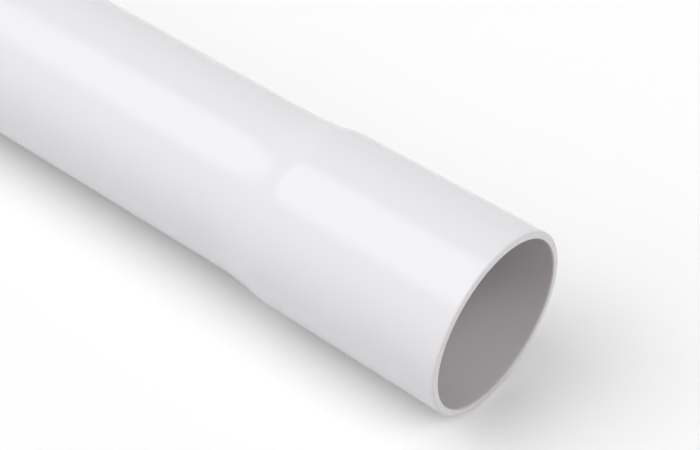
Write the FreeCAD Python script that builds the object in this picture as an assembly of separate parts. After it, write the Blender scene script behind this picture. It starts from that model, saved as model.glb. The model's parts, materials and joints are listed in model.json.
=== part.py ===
import FreeCAD, Part
import math
import os

# A rigid PVC conduit pipe, one extruded piece with a socket formed on one end. Its round wall runs
# along X. The socket opens towards +X, the plain spigot end is at -X, and the origin is the centre
# of the socket's mouth. The pipe lies on its side, +Z up. Lengths are in millimetres.

# The pipe, as extruded
pipe_outer_diameter = 50.0
pipe_wall = 2.2
pipe_length = 2000.0  # from the mouth of the socket to the end face of the spigot

# The socket, where the end was heated and pushed over a mandrel
socket_clearance = 0.3  # on the diameter, between the socket's bore and another pipe's spigot
socket_depth = 62.5  # from the mouth to the shoulder, as deep as a spigot goes in
socket_mouth_wall = 2.35  # the push upsets the wall at the mouth
socket_root_wall = 1.72  # the stretch thins it at the shoulder

# The shoulder, where the socket draws down to the pipe. The reach of a bend is how far it begins
# and ends from the corner that it rounds.
shoulder_length = 11.0  # from corner to corner, along the pipe
throat_reach = 7.0  # the long hollow bend, where the pipe's wall starts to rise
crown_reach = 1.4  # the short full bend, where the wall runs into the socket

# The edges
mouth_edge_round = 0.7
mouth_lead_in_depth = 0.2  # how far the mouth's inner edge is opened, across the wall
mouth_lead_in_length = 0.4  # and along the bore
spigot_chamfer_depth = 0.8
spigot_chamfer_length = 1.6
bore_edge_break = 0.3

# What follows from those sizes. The mouth is at x = 0.
pipe_radius = pipe_outer_diameter / 2
bore_radius = pipe_radius - pipe_wall
socket_bore_radius = pipe_radius + socket_clearance / 2
mouth_radius = socket_bore_radius + socket_mouth_wall
root_radius = socket_bore_radius + socket_root_wall
root_x = -socket_depth
throat_x = root_x - shoulder_length
spigot_x = -pipe_length

pipe_axis = FreeCAD.Vector(1, 0, 0)
mouth_centre = FreeCAD.Vector(0, 0, 0)


def at(x, radius):
    """A point of the half section, which is drawn above the axis."""
    return FreeCAD.Vector(x, 0, radius)


def rounded_outline(corners):
    """A closed wire through the corners (x, radius, reach), each bend an arc tangent to its two runs."""
    count = len(corners)
    points = [at(x, radius) for x, radius, reach in corners]
    starts, ends, middles = [], [], []
    for i, (x, radius, reach) in enumerate(corners):
        here = points[i]
        back = (points[i - 1] - here).normalize()
        ahead = (points[(i + 1) % count] - here).normalize()
        starts.append(here + back * reach)
        ends.append(here + ahead * reach)
        if reach == 0:
            middles.append(None)
            continue
        half_corner = back.getAngle(ahead) / 2
        bend = reach * math.tan(half_corner)
        to_centre = (back + ahead).normalize()
        middles.append(here + to_centre * (bend / math.sin(half_corner) - bend))
    edges = []
    for i in range(count):
        if middles[i]:
            edges.append(Part.Arc(starts[i], middles[i], ends[i]).toShape())
        edges.append(Part.LineSegment(ends[i], starts[(i + 1) % count]).toShape())
    return Part.Wire(edges)


def turned(corners):
    """The half section turned once round the pipe's axis, as a solid ring."""
    return Part.Face(rounded_outline(corners)).revolve(mouth_centre, pipe_axis, 360)


def conduit():
    """The whole pipe: the outside is drawn from the spigot to the mouth, the inside back again."""
    outside = [
        (spigot_x, pipe_radius - spigot_chamfer_depth, 0),
        (spigot_x + spigot_chamfer_length, pipe_radius, 0),
        (throat_x, pipe_radius, throat_reach),
        (root_x, root_radius, crown_reach),
        (0, mouth_radius, mouth_edge_round),
    ]
    inside = [
        (0, socket_bore_radius + mouth_lead_in_depth, 0),
        (-mouth_lead_in_length, socket_bore_radius, 0),
        (root_x, socket_bore_radius, crown_reach),
        (throat_x, bore_radius, throat_reach),
        (spigot_x + bore_edge_break, bore_radius, 0),
        (spigot_x, bore_radius + bore_edge_break, 0),
    ]
    return turned(outside + inside)


os.makedirs("parts", exist_ok=True)
pipe = conduit()
pipe.exportStep("parts/conduit_pipe.step")
print("conduit_pipe", pipe.isValid(), len(pipe.Solids), round(pipe.Volume, 1), pipe.BoundBox)
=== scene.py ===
import json
import math
import bmesh
import bpy
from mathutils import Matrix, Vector


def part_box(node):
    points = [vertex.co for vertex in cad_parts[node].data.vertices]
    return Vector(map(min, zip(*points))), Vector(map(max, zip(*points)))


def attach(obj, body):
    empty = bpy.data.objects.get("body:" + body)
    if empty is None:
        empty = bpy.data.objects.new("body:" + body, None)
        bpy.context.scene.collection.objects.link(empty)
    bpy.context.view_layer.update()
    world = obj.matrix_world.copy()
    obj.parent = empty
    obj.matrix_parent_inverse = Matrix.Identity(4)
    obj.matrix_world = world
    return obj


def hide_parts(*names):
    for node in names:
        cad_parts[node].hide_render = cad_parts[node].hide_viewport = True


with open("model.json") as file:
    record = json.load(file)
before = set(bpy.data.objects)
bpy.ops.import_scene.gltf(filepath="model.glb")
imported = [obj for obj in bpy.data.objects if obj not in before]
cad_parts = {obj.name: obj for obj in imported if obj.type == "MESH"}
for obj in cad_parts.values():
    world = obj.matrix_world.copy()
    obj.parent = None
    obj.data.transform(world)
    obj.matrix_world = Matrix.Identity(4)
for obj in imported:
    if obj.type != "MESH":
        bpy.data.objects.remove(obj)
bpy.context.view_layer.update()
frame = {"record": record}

# A rigid PVC conduit pipe, lying on a pale floor with its socket towards the viewer.
# Metres, X along the pipe and out of the socket, Z up, the mouth's centre at the origin.

nodeLow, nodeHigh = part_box("conduit_pipe")
mountSizes = {mount["name"]: mount["dims"] for mount in frame["record"]["mounts"]}
mm = 0.001


def deselectAll():
    if bpy.context.mode != "OBJECT":
        bpy.ops.object.mode_set(mode="OBJECT")
    bpy.ops.object.select_all(action="DESELECT")


# The pipe

pipeSettings = {
    "outerRadius": mountSizes["spigot"]["r_mm"] * mm,
    "boreRadius": mountSizes["cable_bore"]["r_mm"] * mm,
    "socketBoreRadius": mountSizes["socket"]["r_mm"] * mm,
    "mouthRadius": nodeHigh.z,
    "length": nodeHigh.x - nodeLow.x,
    "socketDepth": 62.5 * mm,  # from the mouth to the corner of the shoulder
    "socketRootWall": 1.72 * mm,
    "shoulderLength": 11.0 * mm,
    "throatReach": 7.0 * mm,  # how far from its corner the long hollow bend begins
    "crownReach": 1.4 * mm,  # and the short full one
    "mouthEdgeRound": 0.7 * mm,
    "leadInDepth": 0.2 * mm,
    "leadInLength": 0.4 * mm,
    "spigotChamferDepth": 0.8 * mm,
    "spigotChamferLength": 1.6 * mm,
    "boreEdgeBreak": 0.3 * mm,
    "chamferSoftening": 0.15 * mm,  # how far the edges of the lead-in and the chamfer are rounded
    "breakSoftening": 0.08 * mm,
    "roundSegments": 256,
    "bendSegments": 20,
    "edgeSegments": 6,
    "supportGap": 2.0 * mm,  # a plain ring this far beyond a bend keeps its shading true
    "plainRingSpacing": 100.0 * mm,
    "smoothAngle": 28.0,  # degrees
    "sawnFacing": 0.985,  # a face is sawn where its normal lies this far along X
}
ringTolerance = 0.01 * mm
mergeDistance = 0.001 * mm


def startRing(name, ring, segments):
    deselectAll()
    x, radius = ring
    bpy.ops.mesh.primitive_circle_add(
        vertices=segments, radius=radius, location=(x, 0, 0), rotation=(0, math.pi / 2, 0))
    piece = bpy.context.object
    piece.name = name
    piece.data.name = name
    bpy.ops.object.transform_apply(location=True, rotation=True, scale=True)
    bpy.ops.object.mode_set(mode="EDIT")
    bpy.ops.mesh.select_mode(type="EDGE")
    bpy.ops.mesh.select_all(action="SELECT")
    return piece


def carryRing(ring, nextRing):
    x, radius = ring
    nextX, nextRadius = nextRing
    scale = nextRadius / radius
    bpy.ops.mesh.extrude_edges_move(TRANSFORM_OT_translate={"value": (nextX - x, 0, 0)})
    bpy.ops.transform.resize(value=(1, scale, scale), center_override=(nextX, 0, 0))


def selectRings(piece, rings):
    bpy.ops.mesh.select_all(action="DESELECT")
    mesh = bmesh.from_edit_mesh(piece.data)

    def onRing(vertex, ring):
        x, radius = ring
        fromAxis = math.hypot(vertex.co.y, vertex.co.z)
        return abs(vertex.co.x - x) < ringTolerance and abs(fromAxis - radius) < ringTolerance

    for edge in mesh.edges:
        if any(all(onRing(vertex, ring) for vertex in edge.verts) for ring in rings):
            edge.select = True
    mesh.select_flush_mode()
    bmesh.update_edit_mesh(piece.data)


def softenRings(piece, rings, reach, segments):
    selectRings(piece, rings)
    bpy.ops.mesh.bevel(
        offset_type="OFFSET", offset=reach, segments=segments, profile=0.5, affect="EDGES",
        clamp_overlap=False)


def cutPlainRings(places):
    for x in places:
        bpy.ops.mesh.select_all(action="SELECT")
        bpy.ops.mesh.bisect(plane_co=(x, 0, 0), plane_no=(1, 0, 0))


def buildPipe(s):
    rootX = -s["socketDepth"]
    throatX = rootX - s["shoulderLength"]
    spigotX = -s["length"]
    mouthOuter = (0.0, s["mouthRadius"])
    rootOuter = (rootX, s["socketBoreRadius"] + s["socketRootWall"])
    throatOuter = (throatX, s["outerRadius"])
    chamferStart = (spigotX + s["spigotChamferLength"], s["outerRadius"])
    chamferEnd = (spigotX, s["outerRadius"] - s["spigotChamferDepth"])
    breakEnd = (spigotX, s["boreRadius"] + s["boreEdgeBreak"])
    breakStart = (spigotX + s["boreEdgeBreak"], s["boreRadius"])
    throatInner = (throatX, s["boreRadius"])
    rootInner = (rootX, s["socketBoreRadius"])
    leadInEnd = (-s["leadInLength"], s["socketBoreRadius"])
    mouthInner = (0.0, s["socketBoreRadius"] + s["leadInDepth"])

    # one ring is drawn back along the outside, round the spigot's end and out again inside
    pipe = startRing("conduitPipe", mouthOuter, s["roundSegments"])
    walk = [mouthOuter, rootOuter, throatOuter, chamferStart, chamferEnd, breakEnd,
            breakStart, throatInner, rootInner, leadInEnd, mouthInner]
    for ring, nextRing in zip(walk, walk[1:]):
        carryRing(ring, nextRing)
    selectRings(pipe, [mouthOuter, mouthInner])
    bpy.ops.mesh.bridge_edge_loops()

    softenRings(pipe, [throatOuter, throatInner], s["throatReach"], s["bendSegments"])
    softenRings(pipe, [rootOuter, rootInner], s["crownReach"], s["bendSegments"] // 2)
    softenRings(pipe, [mouthOuter], s["mouthEdgeRound"], s["edgeSegments"])
    softenRings(pipe, [leadInEnd, mouthInner], s["chamferSoftening"], s["edgeSegments"])
    softenRings(pipe, [chamferStart, chamferEnd], s["chamferSoftening"], s["edgeSegments"])
    softenRings(pipe, [breakStart, breakEnd], s["breakSoftening"], s["edgeSegments"] // 2)

    throatStart = throatX - s["throatReach"] - s["supportGap"]
    crownEnd = rootX + s["crownReach"] + s["supportGap"]
    mouthSupport = -s["leadInLength"] - s["supportGap"]
    spigotSupport = spigotX + s["spigotChamferLength"] + s["supportGap"]
    spacing = s["plainRingSpacing"]
    plainCount = int((throatStart - spigotX) / spacing)
    plainPlaces = [throatStart - spacing * (i + 1) for i in range(plainCount)]
    plainPlaces = [x for x in plainPlaces if x > spigotSupport + spacing / 4]
    cutPlainRings([mouthSupport, crownEnd, throatStart, *plainPlaces, spigotSupport])

    bpy.ops.mesh.select_all(action="SELECT")
    bpy.ops.mesh.remove_doubles(threshold=mergeDistance)
    bpy.ops.mesh.normals_make_consistent(inside=False)
    bpy.ops.object.mode_set(mode="OBJECT")
    bpy.ops.object.shade_smooth_by_angle(angle=math.radians(s["smoothAngle"]))
    return pipe


# Finishes and painted light, on Object coordinates: the bore's darker colour is painted shade and the
# sawn end's lighter colour is painted light. What more than one of them shows is a node group, built
# once.
# Roughness goes from the first value to the second as the compound drifts. In the bore it stays under
# 0.27, past which the denoiser takes gloss for matt and draws a line where the two meet.

finishAndPaintedLightSettings = {
    "outside": {
        "colour": (0.800, 0.785, 0.810),
        "cloudShade": 0.975,  # times the colour, at the far end of the drift
        "cloudScale": 14.0,
        "roughness": (0.17, 0.22),
        "ior": 1.54,
        "lineSpacing": 3.2,
        "lineHeight": 0.002 * mm,
        "markAmount": 0.1,
    },
    "bore": {
        # darker than the outside: painted shade inside the pipe, which is the same compound
        "colour": (0.690, 0.654, 0.660),
        "cloudShade": 0.96,
        "cloudScale": 20.0,
        "roughness": (0.19, 0.26),
        "ior": 1.54,
        "lineSpacing": 2.1,
        "lineHeight": 0.03 * mm,
    },
    "sawnEnd": {
        # lighter than the outside: painted light on the end face, which is the same compound; its
        # roughness and saw lines are real
        "colour": (0.910, 0.890, 0.900),
        "cloudShade": 0.95,
        "cloudScale": 160.0,
        "roughness": (0.49, 0.61),
        "ior": 1.50,
        "lineScale": 2600.0,
        "lineStretch": 0.03,  # the saw went across: its lines run along Y on the end face
        "lineHeight": 0.02 * mm,
    },
}
drawLineSettings = {"stretch": 0.004, "detail": 3.0, "roughness": 0.62}
rubMarkSettings = {
    "stretch": 0.05,
    "scale": 900.0,
    "patchScale": 18.0,
    "markRange": (0.66, 0.74),
    "patchRange": (0.5, 0.68),
}
cloudSettings = {"detail": 4.0, "roughness": 0.5, "range": (0.3, 0.7)}


def addNode(tree, kind, place, values=None, **settings):
    node = tree.nodes.new(kind)
    node.location = place
    for name, value in settings.items():
        setattr(node, name, value)
    for socket, value in (values or {}).items():
        node.inputs[socket].default_value = value
    return node


def addMath(tree, operation, first, second, place):
    node = addNode(tree, "ShaderNodeMath", place, operation=operation)
    tree.links.new(first, node.inputs[0])
    tree.links.new(second, node.inputs[1])
    return node.outputs[0]


def addStretch(tree, source, stretch, place):
    node = addNode(tree, "ShaderNodeVectorMath", place, operation="MULTIPLY")
    node.inputs[1].default_value = stretch
    tree.links.new(source, node.inputs[0])
    return node.outputs[0]


def addRange(tree, source, fromRange, toRange, place):
    node = addNode(tree, "ShaderNodeMapRange", place, {
        "From Min": fromRange[0], "From Max": fromRange[1], "To Min": toRange[0], "To Max": toRange[1]})
    tree.links.new(source, node.inputs["Value"])
    return node.outputs["Result"]


def addNoise(tree, vector, place, **values):
    node = addNode(tree, "ShaderNodeTexNoise", place, values)
    tree.links.new(vector, node.inputs["Vector"])
    return node


def newGroup(name, amount, usual, output):
    # each group takes a place and one amount, and gives one value
    tree = bpy.data.node_groups.new(name, "ShaderNodeTree")
    tree.interface.new_socket(name="Vector", in_out="INPUT", socket_type="NodeSocketVector")
    socket = tree.interface.new_socket(name=amount, in_out="INPUT", socket_type="NodeSocketFloat")
    socket.default_value = usual
    tree.interface.new_socket(name=output, in_out="OUTPUT", socket_type="NodeSocketFloat")
    given = addNode(tree, "NodeGroupInput", (-800, 0))
    result = addNode(tree, "NodeGroupOutput", (600, 0))
    return tree, given.outputs["Vector"], given.outputs[amount], result.inputs[output]


def buildDrawLines(s):
    # fine lines that the die leaves along the pipe, their spacing in millimetres
    tree, where, spacing, result = newGroup("drawLines", "Spacing", 2.0, "Lines")
    along = addStretch(tree, where, (s["stretch"], 1.0, 1.0), (-560, 0))
    perMetre = addNode(tree, "ShaderNodeMath", (-560, -200), {0: 1 / mm}, operation="DIVIDE")
    tree.links.new(spacing, perMetre.inputs[1])
    noise = addNoise(tree, along, (-320, 0), Detail=s["detail"], Roughness=s["roughness"])
    tree.links.new(perMetre.outputs[0], noise.inputs["Scale"])
    tree.links.new(noise.outputs["Fac"], result)
    return tree


def buildRubMarks(s):
    # short faint marks along the pipe, from sliding in and out of a bundle
    tree, where, amount, result = newGroup("rubMarks", "Amount", 0.3, "Marks")
    along = addStretch(tree, where, (s["stretch"], 1.0, 1.0), (-620, 0))
    fine = addNoise(tree, along, (-420, 120), Scale=s["scale"], Detail=2.0)
    patches = addNoise(tree, where, (-420, -140), Scale=s["patchScale"], Detail=1.0)
    thin = addRange(tree, fine.outputs["Fac"], s["markRange"], (0.0, 1.0), (-180, 120))
    some = addRange(tree, patches.outputs["Fac"], s["patchRange"], (0.0, 1.0), (-180, -140))
    both = addMath(tree, "MULTIPLY", thin, some, (60, 0))
    tree.links.new(addMath(tree, "MULTIPLY", both, amount, (260, 0)), result)
    return tree


def buildClouding(s):
    # slow drift of the compound's tone and gloss
    tree, where, scale, result = newGroup("clouding", "Scale", 12.0, "Cloud")
    noise = addNoise(tree, where, (-320, 0), Detail=s["detail"], Roughness=s["roughness"])
    tree.links.new(scale, noise.inputs["Scale"])
    tree.links.new(noise.outputs["Fac"], result)
    return tree


def placeGroup(tree, group, where, place, **values):
    node = addNode(tree, "ShaderNodeGroup", place, values, node_tree=group)
    tree.links.new(where, node.inputs["Vector"])
    return node.outputs[0]


def startMaterial(name, surface, groups):
    # the colour drifts with the cloud, which is handed on for the roughness
    material = bpy.data.materials.new(name)
    material.use_nodes = True
    material.diffuse_color = (*surface["colour"], 1.0)
    tree = material.node_tree
    shader = tree.nodes["Principled BSDF"]
    shader.inputs["IOR"].default_value = surface["ior"]
    where = addNode(tree, "ShaderNodeTexCoord", (-1300, 0)).outputs["Object"]
    cloud = placeGroup(tree, groups["clouding"], where, (-1000, -200), Scale=surface["cloudScale"])
    mix = addNode(tree, "ShaderNodeMix", (-500, 300), data_type="RGBA")
    mix.inputs[6].default_value = (*surface["colour"], 1.0)
    mix.inputs[7].default_value = (*(channel * surface["cloudShade"] for channel in surface["colour"]), 1.0)
    tree.links.new(cloud, mix.inputs[0])
    tree.links.new(mix.outputs[2], shader.inputs["Base Color"])
    rough = addRange(tree, cloud, cloudSettings["range"], surface["roughness"], (-700, 0))
    return material, tree, shader, where, rough


def addBump(tree, height, distance, shader):
    bump = addNode(tree, "ShaderNodeBump", (-500, -300), {"Strength": 1.0, "Distance": distance})
    tree.links.new(height, bump.inputs["Height"])
    tree.links.new(bump.outputs["Normal"], shader.inputs["Normal"])


def makeOutside(surface, groups):
    material, tree, shader, where, rough = startMaterial("pvcOutside", surface, groups)
    marks = placeGroup(tree, groups["rubMarks"], where, (-1000, 0), Amount=surface["markAmount"])
    tree.links.new(addMath(tree, "ADD", rough, marks, (-500, 0)), shader.inputs["Roughness"])
    lines = placeGroup(tree, groups["drawLines"], where, (-1000, 200), Spacing=surface["lineSpacing"])
    addBump(tree, lines, surface["lineHeight"], shader)
    return material


def makeBore(surface, groups):
    material, tree, shader, where, rough = startMaterial("pvcBorePaintedShade", surface, groups)
    tree.links.new(rough, shader.inputs["Roughness"])
    lines = placeGroup(tree, groups["drawLines"], where, (-1000, 200), Spacing=surface["lineSpacing"])
    addBump(tree, lines, surface["lineHeight"], shader)
    return material


def makeSawnEnd(surface, groups):
    material, tree, shader, where, rough = startMaterial("pvcSawnEndPaintedLight", surface, groups)
    tree.links.new(rough, shader.inputs["Roughness"])
    across = addStretch(tree, where, (1.0, surface["lineStretch"], 1.0), (-1100, 150))
    lines = addNoise(tree, across, (-900, 150), Scale=surface["lineScale"], Detail=2.0)
    addBump(tree, lines.outputs["Fac"], surface["lineHeight"], shader)
    return material


def dressPipe(pipe, s):
    groups = {
        "drawLines": buildDrawLines(drawLineSettings),
        "rubMarks": buildRubMarks(rubMarkSettings),
        "clouding": buildClouding(cloudSettings),
    }
    pipe.data.materials.append(makeOutside(finishAndPaintedLightSettings["outside"], groups))
    pipe.data.materials.append(makeBore(finishAndPaintedLightSettings["bore"], groups))
    pipe.data.materials.append(makeSawnEnd(finishAndPaintedLightSettings["sawnEnd"], groups))
    # sawn end faces take the lighter colour of painted light, the bore's faces the darker colour of
    # painted shade
    for face in pipe.data.polygons:
        fromAxis = Vector((0, face.center.y, face.center.z))
        if abs(face.normal.x) > s["sawnFacing"]:
            face.material_index = 2
        elif face.normal.dot(fromAxis) < 0:
            face.material_index = 1


# Floor, light and camera

stageSettings = {
    "floorSize": 60.0,
    "floorRoughness": 0.9,
    "floorColour": (0.65, 0.65, 0.65),
    "floorSeenColour": (0.985, 0.985, 0.985),  # to the camera and gloss, the floor is nearly white
}

# The studio is all in the world, as far off as a sky, so the floor is lit evenly wherever the camera
# goes. An azimuth is counted from +X towards +Y, in degrees.
skySettings = {
    "ambient": 0.28,
    "seen": 1.0,  # what the camera and gloss see of the room: white
    "softbox": {
        "azimuth": 212.6,
        "elevation": 65.2,
        "halfSize": (0.445, 0.523),  # the tangents of its half angles, along the pipe and across
        "edge": (0.95, 1.05),
        "strength": 1.5,
    },
    "panelEdge": (0.7, 1.3),  # of the half angle, from full strength to none
    "panels": [
        {"name": "leftPanel", "azimuth": 230.0, "elevation": 30.0, "halfAngle": 28.0, "strength": 1.36},
        {"name": "rightPanel", "azimuth": -6.0, "elevation": 50.0, "halfAngle": 20.0, "strength": 2.75},
        {"name": "rearPanel", "azimuth": 125.0, "elevation": 12.0, "halfAngle": 25.0, "strength": 1.05},
    ],
}

cameraSettings = {
    "aim": (-49.93 * mm, 0.0, 5.50 * mm),
    "distance": 581.94 * mm,
    "azimuth": 39.389,
    "elevation": 44.802,
    "lens": 110.571,
    "sensorWidth": 36.0,
    "clip": (0.05, 100.0),
}


def addCamera(s):
    azimuth, elevation = math.radians(s["azimuth"]), math.radians(s["elevation"])
    level = math.cos(elevation)
    back = Vector((math.sin(azimuth) * level, -math.cos(azimuth) * level, math.sin(elevation)))
    camera = bpy.data.objects.new("camera", bpy.data.cameras.new("camera"))
    bpy.context.scene.collection.objects.link(camera)
    camera.data.lens = s["lens"]
    camera.data.sensor_width = s["sensorWidth"]
    camera.data.clip_start, camera.data.clip_end = s["clip"]
    camera.location = Vector(s["aim"]) + back * s["distance"]
    camera.rotation_mode = "QUATERNION"
    camera.rotation_quaternion = (-back).to_track_quat("-Z", "Y")
    bpy.context.scene.camera = camera


def seenRays(tree, place):
    # one for the rays of the camera, of gloss and of glass
    x, y = place
    rays = addNode(tree, "ShaderNodeLightPath", place).outputs
    seen = addMath(tree, "MAXIMUM", rays["Is Camera Ray"], rays["Is Glossy Ray"], (x + 200, y))
    return addMath(tree, "MAXIMUM", seen, rays["Is Transmission Ray"], (x + 400, y))


def addFloor(s, pipe):
    deselectAll()
    # it touches the rim of the socket and the far end of the pipe, as the pipe lies
    drop = pipe["mouthRadius"] - pipe["outerRadius"]
    slope = math.atan(drop / pipe["length"])
    bpy.ops.mesh.primitive_plane_add(
        size=s["floorSize"], location=(0, 0, -pipe["mouthRadius"]), rotation=(0, slope, 0))
    floor = bpy.context.object
    floor.name = "floor"
    material = bpy.data.materials.new("paleFloor")
    material.use_nodes = True
    tree = material.node_tree
    shader = tree.nodes["Principled BSDF"]
    shader.inputs["Roughness"].default_value = s["floorRoughness"]
    shader.inputs["Specular IOR Level"].default_value = 0.0
    mix = addNode(tree, "ShaderNodeMix", (-300, 100), data_type="RGBA")
    mix.inputs[6].default_value = (*s["floorColour"], 1.0)
    mix.inputs[7].default_value = (*s["floorSeenColour"], 1.0)
    tree.links.new(seenRays(tree, (-900, 200)), mix.inputs[0])
    tree.links.new(mix.outputs[2], shader.inputs["Base Color"])
    floor.data.materials.append(material)


def skyDirection(s):
    azimuth, elevation = math.radians(s["azimuth"]), math.radians(s["elevation"])
    level = math.cos(elevation)
    return Vector((math.cos(azimuth) * level, math.sin(azimuth) * level, math.sin(elevation)))


def addDot(tree, direction, axis, place):
    dot = addNode(tree, "ShaderNodeVectorMath", place, operation="DOT_PRODUCT")
    dot.inputs[1].default_value = axis
    tree.links.new(direction, dot.inputs[0])
    return dot.outputs["Value"]


def addPatch(tree, name, source, outer, inner, strength, place):
    # full strength inside, none outside, and a soft edge between
    patch = addNode(
        tree, "ShaderNodeMapRange", place, {"From Min": outer, "From Max": inner, "To Max": strength},
        interpolation_type="SMOOTHSTEP", name=name)
    tree.links.new(source, patch.inputs["Value"])
    return patch.outputs["Result"]


def addPanel(tree, direction, s, edge, place):
    # a round patch of sky
    x, y = place
    inner, outer = (math.cos(math.radians(s["halfAngle"] * share)) for share in edge)
    near = addDot(tree, direction, skyDirection(s), place)
    return addPatch(tree, s["name"], near, outer, inner, s["strength"], (x + 200, y))


def addSoftbox(tree, direction, s, place):
    # an ellipse of sky, its length level with the pipe
    x, y = place
    towards = skyDirection(s)
    along = (Vector((1, 0, 0)) - towards * towards.x).normalized()
    across = towards.cross(along)
    depth = addDot(tree, direction, towards, place)
    squares = []
    for axis, halfSize, lift in zip((along, across), s["halfSize"], (150, -150)):
        reach = addDot(tree, direction, axis / halfSize, (x, y + lift))
        share = addMath(tree, "DIVIDE", reach, depth, (x + 200, y + lift))
        squares.append(addMath(tree, "MULTIPLY", share, share, (x + 400, y + lift)))
    fromMiddle = addMath(tree, "ADD", *squares, (x + 600, y))
    inner, outer = s["edge"]
    patch = addPatch(tree, "softbox", fromMiddle, outer, inner, s["strength"], (x + 800, y))
    ahead = addNode(tree, "ShaderNodeMath", (x + 400, y), {1: 0.0}, operation="GREATER_THAN")
    tree.links.new(depth, ahead.inputs[0])
    return addMath(tree, "MULTIPLY", patch, ahead.outputs[0], (x + 1000, y))


def addWorld(s):
    world = bpy.data.worlds.new("studio")
    bpy.context.scene.world = world
    world.use_nodes = True
    tree = world.node_tree
    background = tree.nodes["Background"]
    background.inputs["Color"].default_value = (1, 1, 1, 1)
    direction = addNode(tree, "ShaderNodeTexCoord", (-1800, 0)).outputs["Generated"]
    light = addNode(tree, "ShaderNodeValue", (-1200, 300), name="ambient").outputs[0]
    light.default_value = s["ambient"]
    for i, panel in enumerate(s["panels"]):
        patch = addPanel(tree, direction, panel, s["panelEdge"], (-1500, -200 * i))
        light = addMath(tree, "ADD", light, patch, (-1000 + 60 * i, 0))
    # the camera, gloss and glass see a white room instead of the panels
    room = addNode(tree, "ShaderNodeMix", (-300, 300), {"B": s["seen"]}, data_type="FLOAT", name="room")
    tree.links.new(seenRays(tree, (-900, 600)), room.inputs["Factor"])
    tree.links.new(light, room.inputs["A"])
    softbox = addSoftbox(tree, direction, s["softbox"], (-1500, 1100))
    strength = addMath(tree, "ADD", room.outputs["Result"], softbox, (-100, 300))
    tree.links.new(strength, background.inputs["Strength"])


print("camera")
addCamera(cameraSettings)

print("pipe")
conduitPipe = buildPipe(pipeSettings)
dressPipe(conduitPipe, pipeSettings)
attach(conduitPipe, "root")
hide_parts("conduit_pipe")
print("pipe done:", len(conduitPipe.data.polygons), "faces")

print("floor and light")
addFloor(stageSettings, pipeSettings)
addWorld(skySettings)
bpy.context.scene.view_settings.view_transform = "Standard"
